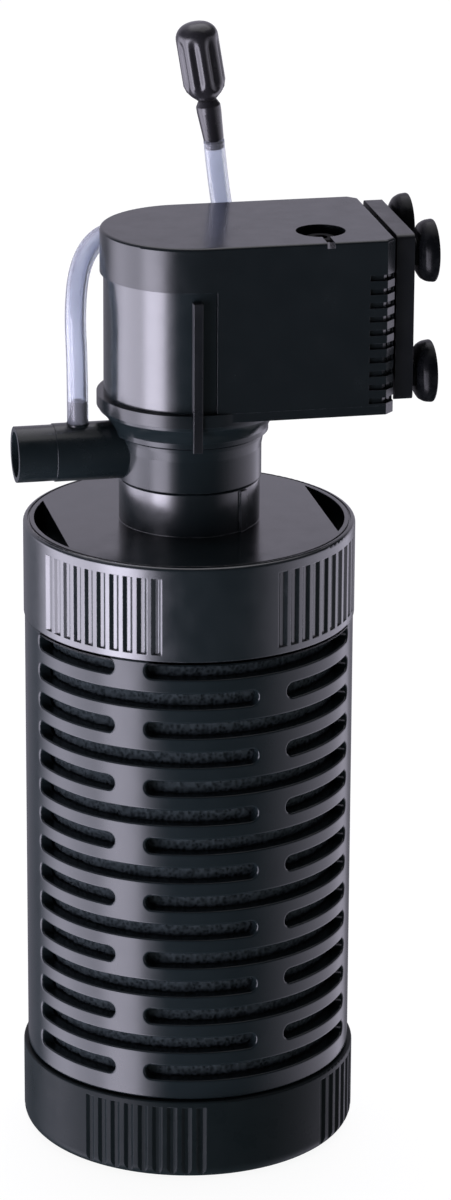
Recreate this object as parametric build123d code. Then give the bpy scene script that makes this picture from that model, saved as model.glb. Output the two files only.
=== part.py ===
from build123d import *
import os
from math import cos, pi, radians, sin, tan

# Submersible aquarium filter: a slotted sponge canister with a swivelling pump head on top.
# Millimetres. +Z is up, the origin is the centre of the base cap's bottom face on the canister's
# axis, +X runs along the pump head towards its suction cups, and the outlet points to -X.

# ---- canister -------------------------------------------------------------------------------
canister_r = 47.2            # outside of the slotted wall
canister_wall = 3.8
end_ring_r = 45.0            # the stepped-in ends that sit inside the cap and the lid
end_ring_wall = 2.6
seat_gap = 0.3               # between a cap's edge and the slotted wall
running_gap = 0.2            # between an end ring and the cap around it
cap_r = 48.5
cap_h = 24.6
cap_floor = 3.0
lid_r = 47.5
lid_z0 = 158.4
lid_z1 = 186.0
lid_plate = 4.5
lid_skin = 5.0               # how far the basket's top ring stays below the lid's plate

slot_rows = 15
slot_row_low = 33.0          # centre height of the lowest row
slot_pitch = 8.73
slot_h = 4.4
slot_half_span = 69.3        # degrees either side of the middle of each half
bridge_from_middle = 25.6    # degrees from the middle to the bridge, one way on odd rows
bridge_span = 11.4
half_middles = (263.5, 83.5)  # polar angle of each half's middle

lug_count = 4
lug_first = 45.0
lug_span = 12.0
lug_h = 3.0
lug_reach = 1.1              # how far a lug stands out of its end ring
lug_gap = 0.35
twist_span = 18.0            # bayonet turn of the cap and of the lid, degrees

lid_ribs = 9                 # ribs in each grip group
cap_ribs = 8
grip_pitch = 5.05            # degrees
grip_groove_w = 3.0          # at the surface
grip_floor_w = 1.0
grip_groove_d = 0.75
lid_grip_middle = 45.0
cap_grip_middle = 63.2

pocket_chord = 38.6          # finger pockets on the lid: a circle's segment at +X and -X
pocket_r = 44.4
pocket_d = 8.0
pocket_skin = 1.1            # wall round a pocket, under the lid's plate
rim_groove_r = 46.2
rim_groove_w = 0.6

sponge_r = 42.0              # within the end rings
sponge_wall_r = 43.0         # against the slotted wall
sponge_bore = 14.8
core_r = 14.2
core_wall = 1.8
core_z1 = 184.0
core_slot_rows = 9
core_slot_low = 24.0
core_slot_pitch = 16.5
core_slot_w = 5.0
core_slot_h = 8.0
spider_arms = 6

# ---- neck and pump chamber ------------------------------------------------------------------
neck_r = 20.1
neck_bore = 16.0
neck_z1 = 198.6
chamber_r = 20.5
chamber_swell = 0.5          # the drum widens this much towards its waist groove
chamber_z0 = 199.0
chamber_bore = 13.7
waist_z = 212.2              # level groove between the drum and the collar
waist_h = 0.5
collar_r = 22.4
collar_z0 = 212.7
lip_r = 26.4                 # round lip under the head
lip_z0 = 219.9
head_z0 = 220.9              # underside of the head
spigot_r = 15.8
spigot_z0 = 188.5
oring_z = 194.0
oring_wire = 1.8

nozzle_z = 207.2
nozzle_r = 8.0               # the free end, which takes the hose
nozzle_len = 11.0
nozzle_root_r = 8.3          # behind the hose's stop
nozzle_bore = 6.5
nozzle_root_x = -17.6
nozzle_end_x = -50.2
boss_r = 3.2
nipple_x = -32.2
nipple_r = 2.0
nipple_bore = 1.0
nipple_z1 = 222.4

# ---- pump head ------------------------------------------------------------------------------
head_r = 25.4                # half the head's width and the radius of its round end
head_end_x = 53.7
head_z1 = 271.3
head_wall = 2.0
barrel_r = 24.4
barrel_z1 = 258.6
side_wall_x = 2.8            # where the housing's flat side ends and the barrel shows
flange_h = 2.6
corner_cut = 2.6
cooling_grooves = 10
cooling_low = 225.0
cooling_pitch = 3.95
cooling_h = 1.7
cooling_depth = 0.9
cooling_side_reach = 7.6     # along the flat sides, and along the end face
cooling_end_reach = 4.0
clip_x0 = -4.2
clip_w = 2.6
clip_z0 = 213.0
clip_z1 = 256.0

shaft_r = 1.2
well_r = 10.2
well_wall = 1.2
well_flange_r = 17.4
well_z0 = 214.2
well_z1 = 251.0
magnet_r = 8.5
magnet_z0 = 218.0
magnet_z1 = 246.0
impeller_r = 11.6
impeller_z0 = 204.0
impeller_z1 = 211.5
blade_count = 6

core_leg_in = 11.6           # the stator's legs stand this far from the rotor's axis
core_leg_out = 18.6
core_z0 = 227.0
core_z_top = 246.0
core_back_x = 46.0
core_limb = 8.0              # width of the iron under the winding

gland_x = 34.9
gland_y = -11.6
gland_recess_r = 7.0
gland_r = 4.6
gland_recess_d = 4.0
cord_groove_w = 2.2          # from the recess to the head's front edge
cord_groove_d = 1.6

# ---- wall bracket ---------------------------------------------------------------------------
bracket_half = 20.7
bracket_x0 = 54.7
bracket_x1 = 59.9
bracket_z0 = 223.4
bracket_skin = 2.0
bracket_roof = 2.0
rail_gap = 0.25
rail_neck = 2.3              # from the end face to the rail's wide part
rail_web_half = 6.0
rail_half = 9.0
hook_wall = 2.0
hook_reach = 3.0
cup_y = 15.0
cup_heights = (229.9, 265.0)
cup_r = 8.9
cup_neck_r = 4.2
cup_hole_r = 2.6
cup_button_r = 3.4
bell_r = 4.3
cup_depth = 3.6
cup_rim_x = 66.6

# ---- air line -------------------------------------------------------------------------------
tube_r = 3.0
tube_bore_r = 2.0
nipple_socket = 7.2          # how far the tube is pushed over the nipple
stem_socket = 2.9            # and over the regulator's spigot
tube_route = [
    (-32.2, 0.0, 215.7),
    (-32.2, 0.0, 232.0),
    (-33.0, -0.5, 247.5),
    (-30.5, 7.0, 259.0),
    (-23.5, 19.5, 264.0),
    (-13.0, 33.5, 262.5),
    (-11.0, 48.0, 252.0),
    (-9.5, 56.0, 236.5),
    (-0.5, 57.5, 223.5),
    (12.5, 52.5, 220.5),
    (25.0, 43.5, 229.0),
    (27.0, 35.5, 244.5),
    (17.5, 33.5, 259.0),
    (14.0, 30.0, 277.0),
    (12.9, 30.0, 288.3),
]
regulator_lean = 9.5         # degrees, towards -X
stem_len = 12.0
stem_r = 3.5
knob_r = 6.1
knob_len = 22.5
knob_flutes = 8


# ---- shared shapes --------------------------------------------------------------------------
def disc(r, z0, z1, x=0.0, y=0.0):
    return Pos(x, y, (z0 + z1) / 2) * Cylinder(r, z1 - z0)


def tube(r_out, r_in, z0, z1, x=0.0, y=0.0):
    return disc(r_out, z0, z1, x, y) - disc(r_in, z0 - 1, z1 + 1, x, y)


def block(x0, x1, y0, y1, z0, z1):
    centre = ((x0 + x1) / 2, (y0 + y1) / 2, (z0 + z1) / 2)
    return Pos(*centre) * Box(x1 - x0, y1 - y0, z1 - z0)


def turned(profile, start=0.0, arc=360.0):
    """The (radius, height) outline turned about the vertical axis."""
    points = [(r, 0, z) for r, z in profile]
    face = make_face(Polyline(*points, close=True))
    return Rot(0, 0, start) * revolve(face, Axis.Z, arc)


def sector(r_in, r_out, z0, z1, start, end):
    return turned([(r_in, z0), (r_out, z0), (r_out, z1), (r_in, z1)], start, end - start)


def rod_x(r, x0, x1, y, z):
    return Pos((x0 + x1) / 2, y, z) * (Rot(0, 90, 0) * Cylinder(r, x1 - x0))


def bayonet_lugs(z_middle):
    lugs = None
    for n in range(lug_count):
        start = lug_first + n * 360 / lug_count - lug_span / 2
        lug = sector(end_ring_r - 0.6, end_ring_r + lug_reach, z_middle - lug_h / 2, z_middle + lug_h / 2,
                     start, start + lug_span)
        lugs = lug if lugs is None else lugs + lug
    return lugs


def bayonet_track(z_middle, z_edge):
    """Cut-outs for the lugs: a level track, and an entry channel at its unlocked end."""
    reach = end_ring_r + lug_reach + lug_gap
    low = z_middle - lug_h / 2 - lug_gap
    high = z_middle + lug_h / 2 + lug_gap
    margin = 0.7
    cuts = []
    for n in range(lug_count):
        start = lug_first + n * 360 / lug_count - lug_span / 2 - margin
        end = start + lug_span + 2 * margin
        cuts.append(sector(end_ring_r - 0.5, reach, low, high, start - twist_span, end))
        entry = (min(low, z_edge), max(high, z_edge))
        cuts.append(sector(end_ring_r - 0.5, reach, *entry, start - twist_span, end - twist_span))
    return cuts


def grip_grooves(r, z0, z1, middle, ribs):
    """Upright grooves with sloping sides that leave a group of ribs in each quarter of a cap's wall."""
    slope = (grip_groove_w - grip_floor_w) / 2 / grip_groove_d
    floor_x = r - grip_groove_d
    outer_x = r + 1
    outer_y = grip_groove_w / 2 + slope
    section = Polyline((floor_x, -grip_floor_w / 2), (outer_x, -outer_y), (outer_x, outer_y),
                       (floor_x, grip_floor_w / 2), close=True)
    groove = Pos(0, 0, z0) * extrude(make_face(section), z1 - z0)
    cuts = []
    for quarter in range(4):
        for n in range(ribs + 1):
            angle = middle + 90 * quarter + (n - ribs / 2) * grip_pitch
            cuts.append(Rot(0, 0, angle) * groove)
    return cuts


# ---- canister -------------------------------------------------------------------------------
def slot_tool(start, end):
    """One curved slot with round ends, centred on height 0."""
    tool = sector(end_ring_r - 5, canister_r + 2, -slot_h / 2, slot_h / 2, start, end)
    ends = [e for e in tool.edges().filter_by(GeomType.LINE) if abs(e.center().Z) > slot_h / 2 - 0.1]
    return fillet(ends, slot_h / 2 - 0.15)


def slot_row(bridge_side):
    tools = []
    for middle in half_middles:
        bridge = middle + bridge_side * bridge_from_middle
        tools.append(slot_tool(middle - slot_half_span, bridge - bridge_span / 2))
        tools.append(slot_tool(bridge + bridge_span / 2, middle + slot_half_span))
    return tools


def filter_basket():
    body_z0 = cap_h + seat_gap
    body_z1 = lid_z0 - seat_gap
    z0 = cap_floor + 0.2
    z1 = lid_z1 - lid_plate - lid_skin
    ring_bore = end_ring_r - end_ring_wall
    body_bore = canister_r - canister_wall
    wall = turned([
        (ring_bore, z0), (end_ring_r, z0), (end_ring_r, body_z0), (canister_r, body_z0),
        (canister_r, body_z1), (end_ring_r, body_z1), (end_ring_r, z1), (ring_bore, z1),
        (ring_bore, body_z1), (body_bore, body_z1 - 1.0), (body_bore, body_z0 + 1.0), (ring_bore, body_z0),
    ])
    even_row = slot_row(1)
    odd_row = slot_row(-1)
    tools = []
    for n in range(slot_rows):
        row = odd_row if n % 2 == 0 else even_row
        z = slot_row_low + n * slot_pitch
        tools += [Pos(0, 0, z) * tool for tool in row]
    wall = wall - tools
    spider = tube(core_r + 2.0, core_r + 0.05, z0, z0 + 4)
    for n in range(spider_arms):
        arm = block(core_r + 1, ring_bore + 0.5, -1.6, 1.6, z0, z0 + 2.4)
        spider += Rot(0, 0, 360 / spider_arms * n + 15) * arm
    wall = wall + spider
    wall = wall + bayonet_lugs(cap_lug_z()) + bayonet_lugs(lid_lug_z())
    return wall


def cap_lug_z():
    return cap_floor + 8.0


def lid_lug_z():
    return lid_z1 - lid_plate - 9.0


def base_cap():
    bore = end_ring_r + running_gap
    cap = disc(cap_r, 0, cap_h)
    cap = fillet(cap.edges().group_by(Axis.Z)[0], 4.0)
    cap = fillet(cap.edges().group_by(Axis.Z)[-1], 0.6)
    cap = cap - disc(bore, cap_floor, cap_h + 1)
    cap = cap - bayonet_track(cap_lug_z(), cap_h + 1)
    return cap - grip_grooves(cap_r, -1, cap_h - 1.8, cap_grip_middle, cap_ribs)


def pocket_segment(side, r, chord, z0, z1):
    near, far = sorted((side * chord, side * (r + 1)))
    return disc(r, z0, z1) & block(near, far, -r, r, z0, z1)


def pocket_shell(side):
    """The wall and the floor of a finger pocket, hanging under the lid's plate."""
    return pocket_segment(side, lid_r - 1.5, pocket_chord - pocket_skin, lid_z1 - pocket_d - pocket_skin,
                          lid_z1 - lid_plate + 0.5)


def finger_pocket(side):
    return pocket_segment(side, pocket_r, pocket_chord, lid_z1 - pocket_d, lid_z1 + 1)


def top_lid():
    bore = end_ring_r + running_gap
    lid = disc(lid_r, lid_z0, lid_z1)
    lid = fillet(lid.edges().group_by(Axis.Z)[-1], 1.2)
    lid = lid - disc(bore, lid_z0 - 1, lid_z1 - lid_plate)
    neck = disc(neck_r, lid_z1 - 2, neck_z1)
    neck = fillet(neck.edges().group_by(Axis.Z)[-1], 0.5)
    rib = Rot(0, 0, -53) * block(neck_r - 1, neck_r + 0.7, -1.3, 1.3, lid_z1 - 1, neck_z1 - 0.6)
    lid = lid + neck + rib + pocket_shell(1) + pocket_shell(-1)
    lid = lid - disc(neck_bore, lid_z0 - 1, neck_z1 + 1)
    lid = lid - tube(rim_groove_r, rim_groove_r - rim_groove_w, lid_z1 - 0.6, lid_z1 + 1)
    lid = lid - finger_pocket(1) - finger_pocket(-1)
    lid = lid - bayonet_track(lid_lug_z(), lid_z0 - 1)
    return lid - grip_grooves(lid_r, lid_z0 + 1.9, lid_z1 - 3.4, lid_grip_middle, lid_ribs)


def filter_sponge():
    """Plain closed solid of the foam sleeve, which swells out against the slotted wall."""
    sleeve = tube(sponge_r, sponge_bore, cap_floor + 5.0, lid_z1 - lid_plate - 8.0)
    swell = tube(sponge_wall_r, sponge_bore, cap_h + 3.5, lid_z0 - 3.5)
    return sleeve + swell


def core_tube():
    shell = tube(core_r, core_r - core_wall, cap_floor + 0.4, core_z1)
    cuts = []
    half_w, half_h = core_slot_w / 2, core_slot_h / 2
    for row in range(core_slot_rows):
        z = core_slot_low + row * core_slot_pitch
        slot = block(-core_r - 2, core_r + 2, -half_w, half_w, z - half_h, z + half_h)
        for n in range(3):
            cuts.append(Rot(0, 0, 60 * n + 30 * (row % 2)) * slot)
    return shell - cuts


# ---- neck and pump chamber ------------------------------------------------------------------
def chamber_outline():
    """Half section: a drum that swells a little, a waist groove, and a concave collar up to the lip."""
    waist_r = chamber_r + 0.1
    swell_r = chamber_r + chamber_swell
    drum = Polyline((0, 0, lip_z0), (0, 0, chamber_z0), (chamber_r, 0, chamber_z0),
                    (chamber_r, 0, waist_z - 4), (swell_r, 0, waist_z - 1.2), (swell_r, 0, waist_z - 0.2),
                    (waist_r, 0, waist_z),
                    (waist_r, 0, waist_z + waist_h), (collar_r, 0, collar_z0), (collar_r, 0, collar_z0 + 1.4))
    flare = ThreePointArc((collar_r, 0, collar_z0 + 1.4), (collar_r + 1.2, 0, collar_z0 + 3.8),
                          (lip_r - 0.7, 0, lip_z0 - 1.1))
    rim = Polyline((lip_r - 0.7, 0, lip_z0 - 1.1), (lip_r - 0.5, 0, lip_z0), (0, 0, lip_z0))
    return drum + flare + rim


def pump_chamber():
    """Impeller chamber with its flared collar above and the swivel spigot below."""
    body = revolve(make_face(chamber_outline()), Axis.Z, 360)
    body = body + disc(spigot_r, spigot_z0, chamber_z0)
    body = body - tube(spigot_r + 1, spigot_r - oring_wire + 0.1, oring_z - 1.0, oring_z + 1.0)
    body = body - disc(chamber_bore, spigot_z0 - 1, well_z0)
    body = body - disc(well_flange_r + 0.1, well_z0, head_z0 + 1)
    body = body - rod_x(nozzle_root_r, nozzle_end_x, nozzle_root_x, 0, nozzle_z)
    return body - rod_x(nozzle_bore - 1.5, -chamber_r - 1, -chamber_bore + 3, 0, nozzle_z)


def outlet_nozzle():
    stop_x = nozzle_end_x + nozzle_len
    pipe = rod_x(nozzle_r, nozzle_end_x, stop_x, 0, nozzle_z)
    pipe = pipe + rod_x(nozzle_root_r, stop_x, nozzle_root_x, 0, nozzle_z)
    boss = disc(boss_r, nozzle_z, tube_route[0][2], nipple_x)
    pipe = pipe + boss
    pipe = pipe - rod_x(nozzle_bore, nozzle_end_x - 1, -chamber_r - 3, 0, nozzle_z)
    pipe = pipe - rod_x(nozzle_bore - 1.5, -chamber_r - 4, -chamber_bore, 0, nozzle_z)
    return pipe - disc(nipple_r, nozzle_z, nozzle_z + nozzle_root_r + 1, nipple_x)


def air_nipple():
    spigot = disc(nipple_r, nozzle_z + nozzle_bore - 0.2, nipple_z1, nipple_x)
    spigot = chamfer(spigot.edges().group_by(Axis.Z)[-1], 0.5)
    return spigot - disc(nipple_bore, nozzle_z, nipple_z1 + 1, nipple_x)


def neck_oring():
    wire = oring_wire / 2
    path_r = spigot_r - wire + 0.1
    section = Plane.XZ * (Pos(path_r, oring_z) * Circle(wire))
    return revolve(section, Axis.Z, 360)


def impeller_cover():
    """Chamber floor with the inlet eye, and three arms that hold the lower bush."""
    plate = tube(chamber_bore - 0.05, 7.0, chamber_z0 - 0.2, chamber_z0 + 1.8)
    hub = tube(3.4, 2.2, chamber_z0 - 3.0, chamber_z0 + 1.8)
    for n in range(3):
        arm = block(2.8, 7.6, -0.9, 0.9, chamber_z0 - 0.2, chamber_z0 + 1.8)
        plate = plate + Rot(0, 0, 120 * n + 30) * arm
    skirt = tube(chamber_bore - 0.05, chamber_bore - 1.6, chamber_z0 - 6.0, chamber_z0)
    return plate + hub + skirt


def shaft_bush(z0, z1, outer):
    return tube(outer, shaft_r, z0, z1)


def impeller():
    hub = disc(3.6, impeller_z0, impeller_z1)
    plate = disc(impeller_r, impeller_z1 - 1.2, impeller_z1)
    body = hub + plate + disc(4.4, impeller_z1 - 0.5, magnet_z0)
    for n in range(blade_count):
        blade = block(2.8, impeller_r, -0.6, 0.6, impeller_z0, impeller_z1 - 0.5)
        body = body + Rot(0, 0, 360 / blade_count * n) * blade
    return body - disc(shaft_r + 0.06, impeller_z0 - 1, magnet_z0 + 1)


def rotor_magnet():
    body = disc(magnet_r, magnet_z0, magnet_z1)
    body = chamfer(body.edges().filter_by(GeomType.CIRCLE), 0.6)
    return body - disc(shaft_r + 0.06, magnet_z0 - 1, magnet_z1 + 1)


def impeller_shaft():
    return disc(shaft_r, chamber_z0 - 2.4, well_z1 - 1.6)


def rotor_well():
    """Closed tube that keeps the water away from the motor, with a flange into the chamber."""
    well = disc(well_r, well_z0, well_z1)
    flange = disc(well_flange_r, well_z0, well_z0 + 2.4)
    well = well + flange
    well = well - disc(well_r - well_wall, well_z0 - 1, well_z1 - 4.5)
    return well - disc(2.6, well_z1 - 5, well_z1 - 1.2)


# ---- pump head ------------------------------------------------------------------------------
def head_outline(r, end_x, z0, z1, cut=0.0):
    """Round at -X, square at +X with its two upright corners cut off."""
    shape = disc(r, z0, z1) + block(0, end_x, -r, r, z0, z1)
    if cut > 0:
        corners = [e for e in shape.edges().filter_by(Axis.Z) if e.center().X > end_x - 0.1]
        shape = chamfer(corners, cut)
    return shape


def pump_housing():
    shell = head_outline(head_r, head_end_x, head_z0 + flange_h, head_z1, corner_cut)
    shell = fillet(shell.edges().group_by(Axis.Z)[-1], 0.9)
    inner_r = head_r - head_wall
    shell = shell - head_outline(inner_r, head_end_x - head_wall, head_z0, head_z1 - head_wall)
    shell = shell - block(-head_r - 1, side_wall_x, -head_r - 1, head_r + 1, head_z0, barrel_z1)
    shell = shell - cooling_cuts()
    shell = shell + wall_rail() + gland_pad()
    shell = shell - disc(gland_recess_r, head_z1 - gland_recess_d, head_z1 + 1, gland_x, gland_y)
    groove = (gland_x - cord_groove_w / 2, gland_x + cord_groove_w / 2)
    shell = shell - block(*groove, -head_r - 1, gland_y, head_z1 - cord_groove_d, head_z1 + 1)
    return shell - disc(gland_r - 1.2, head_z1 - 10, head_z1, gland_x, gland_y)


def cooling_cuts():
    """Level grooves round both corners at the bracket end."""
    cuts = []
    core_r = head_r - cooling_depth
    core_x = head_end_x - cooling_depth
    inner_y = head_r - cooling_end_reach
    for n in range(cooling_grooves):
        z = cooling_low + n * cooling_pitch
        low, high = z - cooling_h / 2, z + cooling_h / 2
        band = block(head_end_x - cooling_side_reach, head_end_x + 1, -head_r - 1, head_r + 1, low, high)
        core = head_outline(core_r, core_x, z - cooling_h, z + cooling_h, corner_cut)
        between = block(0, head_end_x + 2, -inner_y, inner_y, z - cooling_h, z + cooling_h)
        cuts += (band - core - between).solids()
    return cuts


def wall_rail():
    """Upright T rail on the end face that the bracket slides on."""
    top = head_z1 - bracket_roof - rail_gap
    z0 = bracket_z0 + 2
    web = block(head_end_x - 0.5, head_end_x + rail_neck + 0.5, -rail_web_half, rail_web_half, z0, top)
    flange = block(head_end_x + rail_neck, head_end_x + rail_neck + 1.5, -rail_half, rail_half, z0, top)
    return web + flange


def gland_pad():
    """Thick patch under the roof around the cord inlet."""
    z0 = head_z1 - head_wall - 3.4
    return disc(gland_recess_r + 1.6, z0, head_z1 - head_wall + 0.5, gland_x, gland_y)


def motor_barrel():
    barrel = tube(barrel_r, barrel_r - 1.8, head_z0 + flange_h, barrel_z1 - 0.1)
    barrel = barrel & block(-barrel_r, side_wall_x - 0.1, -barrel_r, barrel_r, head_z0, barrel_z1)
    return barrel


def motor_base_plate():
    top = head_z0 + flange_h
    plate = disc(lip_r, lip_z0, top) + block(0, head_end_x, -head_r, head_r, head_z0, top)
    corners = [e for e in plate.edges().filter_by(Axis.Z) if e.center().X > head_end_x - 0.1]
    plate = chamfer(corners, corner_cut)
    return plate - disc(well_r + 0.1, lip_z0 - 1, top + 1)


def side_clip(side):
    """Upright latch on the barrel, with a thin tongue down over the lip and the collar."""
    near, far = sorted((side * (barrel_r + 0.1), side * (barrel_r + 2.7)))
    blade = block(clip_x0, clip_x0 + clip_w, near, far, clip_z0, clip_z1)
    return blade - disc(lip_r + 0.02, clip_z0 - 1, head_z0 + flange_h)


def stator_core():
    legs = block(-7, core_back_x, core_leg_in - 1.5, core_leg_out, core_z0, core_z_top)
    legs = legs + block(-7, core_back_x, -core_leg_out, -core_leg_in + 1.5, core_z0, core_z_top)
    back = block(core_back_x - core_limb, core_back_x, -core_leg_out, core_leg_out, core_z0, core_z_top)
    return legs + back - disc(core_leg_in, core_z0 - 1, core_z_top + 1)


def coil_bobbin():
    x0 = core_back_x - core_limb
    inner = block(x0 - 1.2, core_back_x + 1.2, -9.6, 9.6, core_z0 - 1.2, core_z_top + 1.2)
    cheek_a = block(x0 - 6, core_back_x + 4.4, -9.6, -8.4, core_z0 - 1.9, core_z_top + 6)
    cheek_b = block(x0 - 6, core_back_x + 4.4, 8.4, 9.6, core_z0 - 1.9, core_z_top + 6)
    body = inner + cheek_a + cheek_b
    return body - block(x0, core_back_x, -12, 12, core_z0, core_z_top)


def stator_coil():
    x0 = core_back_x - core_limb
    winding = block(x0 - 5.4, core_back_x + 4.0, -8.3, 8.3, core_z0 - 1.9, core_z_top + 5.4)
    edges = winding.edges().filter_by(Axis.Y)
    winding = fillet(edges, 1.8)
    return winding - block(x0 - 1.3, core_back_x + 1.3, -9, 9, core_z0 - 1.3, core_z_top + 1.3)


def cord_gland():
    """Rubber cord inlet, sunk in its recess in the roof."""
    z0 = head_z1 - gland_recess_d - 4.4
    stem = disc(gland_r - 1.3, z0, head_z1 - gland_recess_d + 0.2, gland_x, gland_y)
    collar = disc(gland_r, head_z1 - gland_recess_d + 0.02, head_z1 - 1.8, gland_x, gland_y)
    collar = chamfer(collar.edges().group_by(Axis.Z)[-1], 0.6)
    return stem + collar - disc(2.0, z0 - 1, head_z1, gland_x, gland_y)


# ---- wall bracket ---------------------------------------------------------------------------
def bracket_plate():
    plate = block(bracket_x0, bracket_x1, -bracket_half, bracket_half, bracket_z0, head_z1)
    plate = fillet(plate.edges().filter_by(Axis.X), 1.5)
    roof_z = head_z1 - bracket_roof
    hollow = block(bracket_x0 - 1, bracket_x1 - bracket_skin, -bracket_half + 2, bracket_half - 2,
                   bracket_z0 - 1, roof_z)
    plate = plate - hollow
    hook_x1 = head_end_x + rail_neck - rail_gap
    hook_y0 = rail_half + 0.3
    hook_y1 = hook_y0 + hook_wall
    for side in (-1, 1):
        near, far = sorted((side * hook_y0, side * hook_y1))
        wall = block(bracket_x0, bracket_x1 - 1, near, far, bracket_z0, roof_z + 1)
        near, far = sorted((side * (hook_y0 - hook_reach), side * hook_y1))
        lip = block(bracket_x0, hook_x1, near, far, bracket_z0, roof_z + 1)
        plate = plate + wall + lip
    for z in cup_heights:
        for side in (-1, 1):
            plate = plate - rod_x(cup_hole_r, bracket_x1 - 4, bracket_x1 + 1, side * cup_y, z)
    return plate


def suction_cup(side, z):
    """Rubber cup with a neck and a button through the bracket."""
    skin = bracket_x1
    inner_skin = skin - bracket_skin
    bell_z0 = skin + 1.3
    bell_x = cup_r - bell_r
    waist_r = cup_hole_r - 0.05
    stem = Polyline((0, 0, cup_rim_x), (0, 0, inner_skin - 1.4), (cup_button_r, 0, inner_skin - 1.4),
                    (cup_button_r, 0, inner_skin - 0.05), (waist_r, 0, inner_skin - 0.05),
                    (waist_r, 0, skin + 0.05),
                    (cup_neck_r, 0, skin + 0.05), (cup_neck_r, 0, bell_z0), (bell_x, 0, bell_z0))
    bell_middle = (bell_x + bell_r * sin(pi / 4), 0, bell_z0 + bell_r * (1 - cos(pi / 4)))
    bell = ThreePointArc((bell_x, 0, bell_z0), bell_middle, (cup_r, 0, bell_z0 + bell_r))
    rim = Polyline((cup_r, 0, bell_z0 + bell_r), (cup_r, 0, cup_rim_x), (0, 0, cup_rim_x))
    cup = revolve(make_face(stem + bell + rim), Axis.Z, 360)
    lip_inner_r = cup_r - 0.6
    hollow_r = (lip_inner_r**2 + cup_depth**2) / (2 * cup_depth)
    cup = cup - Pos(0, 0, cup_rim_x - cup_depth + hollow_r) * Sphere(hollow_r)
    return Pos(0, side * cup_y, z) * (Rot(0, 90, 0) * cup)


# ---- air line -------------------------------------------------------------------------------
def corner_radii(route):
    """The largest even arc at each inner point: 0.45 of its shorter run over the half turn's tangent."""
    radii = []
    for before, here, after in zip(route, route[1:], route[2:]):
        run_in = Vector(here) - Vector(before)
        run_out = Vector(after) - Vector(here)
        turn = run_in.get_angle(run_out)
        radii.append(0.45 * min(run_in.length, run_out.length) / tan(radians(turn / 2)))
    return radii


def air_tube():
    radii = corner_radii(tube_route)
    path = FilletPolyline(*tube_route, radius=radii)
    start = Plane(origin=path @ 0, z_dir=path % 0)
    solid = sweep(start * Circle(tube_r), path)
    runs = [(Vector(b) - Vector(a)).length for a, b in zip(tube_route, tube_route[1:])]
    print("air tube runs", [round(run, 1) for run in runs])
    print("air tube radii", [round(radius, 1) for radius in radii])
    print("air tube length", round(path.length, 1), "volume ratio",
          round(solid.volume / (pi * tube_r**2 * path.length), 4))
    finish = Plane(origin=path @ 1, z_dir=(path % 1) * -1)
    for end, depth in ((start, nipple_socket), (finish, stem_socket)):
        solid = solid - end * (Pos(0, 0, depth / 2 - 0.5) * Cylinder(tube_bore_r, depth + 1))
    return solid


def regulator_plane():
    """At the tube's upper end, leaning like the regulator."""
    lean = radians(regulator_lean)
    return Plane(origin=tube_route[-1], x_dir=(cos(lean), 0, sin(lean)), z_dir=(-sin(lean), 0, cos(lean)))


def tube_end_plane():
    end = Vector(tube_route[-1])
    return Plane(origin=end, z_dir=end - Vector(tube_route[-2]))


def regulator_stem():
    """Valve barrel on the tube's end, with a hose spigot below and a threaded bore above."""
    spigot = tube_end_plane() * (Pos(0, 0, -stem_socket / 2 + 0.2) * Cylinder(tube_bore_r, stem_socket - 0.4))
    outline = [
        (0, 0.35), (tube_r - 0.1, 0.35), (stem_r, stem_len * 0.72), (stem_r, stem_len * 0.86),
        (stem_r - 0.9, stem_len), (0, stem_len),
    ]
    barrel = regulator_plane() * turned(outline)
    root = tube_end_plane() * (Pos(0, 0, 0.4) * Cylinder(tube_bore_r, 1.2))
    bore = regulator_plane() * (Pos(0, 0, stem_len - 3) * Cylinder(1.2, 7))
    return barrel + root + spigot - bore


def knob_outline():
    """Radius of the knob at each height above the barrel's root."""
    base = stem_len + 0.3
    return [
        (0, base), (2.9, base), (knob_r - 0.7, base + 3.2), (knob_r, base + 5.5),
        (knob_r, base + knob_len - 5.0), (knob_r - 0.9, base + knob_len - 2.0),
        (knob_r - 2.6, base + knob_len - 0.4), (0, base + knob_len),
    ]


def regulator_knob():
    body = turned(knob_outline())
    top = stem_len + 0.3 + knob_len
    for n in range(knob_flutes):
        flute = Pos(knob_r + 0.9, 0, top - 11.0) * Cylinder(1.9, 15.5)
        body = body - Rot(0, 0, 360 / knob_flutes * n) * flute
    needle = Pos(0, 0, stem_len - 2.2) * Cylinder(1.12, 6.0)
    return regulator_plane() * (body + needle)


# ---- all pieces -----------------------------------------------------------------------------
def all_parts():
    parts = {
        "filter_basket": filter_basket(),
        "base_cap": base_cap(),
        "top_lid": top_lid(),
        "filter_sponge": filter_sponge(),
        "core_tube": core_tube(),
        "pump_chamber": pump_chamber(),
        "outlet_nozzle": outlet_nozzle(),
        "air_nipple": air_nipple(),
        "neck_oring": neck_oring(),
        "impeller_cover": impeller_cover(),
        "shaft_bush_lower": shaft_bush(chamber_z0 - 2.8, chamber_z0 + 1.6, 2.2),
        "shaft_bush_upper": shaft_bush(well_z1 - 4.4, well_z1 - 1.4, 2.6),
        "impeller": impeller(),
        "rotor_magnet": rotor_magnet(),
        "impeller_shaft": impeller_shaft(),
        "rotor_well": rotor_well(),
        "pump_housing": pump_housing(),
        "motor_barrel": motor_barrel(),
        "motor_base_plate": motor_base_plate(),
        "side_clip_front": side_clip(-1),
        "side_clip_back": side_clip(1),
        "stator_core": stator_core(),
        "coil_bobbin": coil_bobbin(),
        "stator_coil": stator_coil(),
        "cord_gland": cord_gland(),
        "bracket_plate": bracket_plate(),
        "air_tube": air_tube(),
        "regulator_stem": regulator_stem(),
        "regulator_knob": regulator_knob(),
    }
    for level, z in zip(("lower", "upper"), cup_heights):
        for name, side in (("front", -1), ("back", 1)):
            parts[f"suction_cup_{level}_{name}"] = suction_cup(side, z)
    return parts


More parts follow.
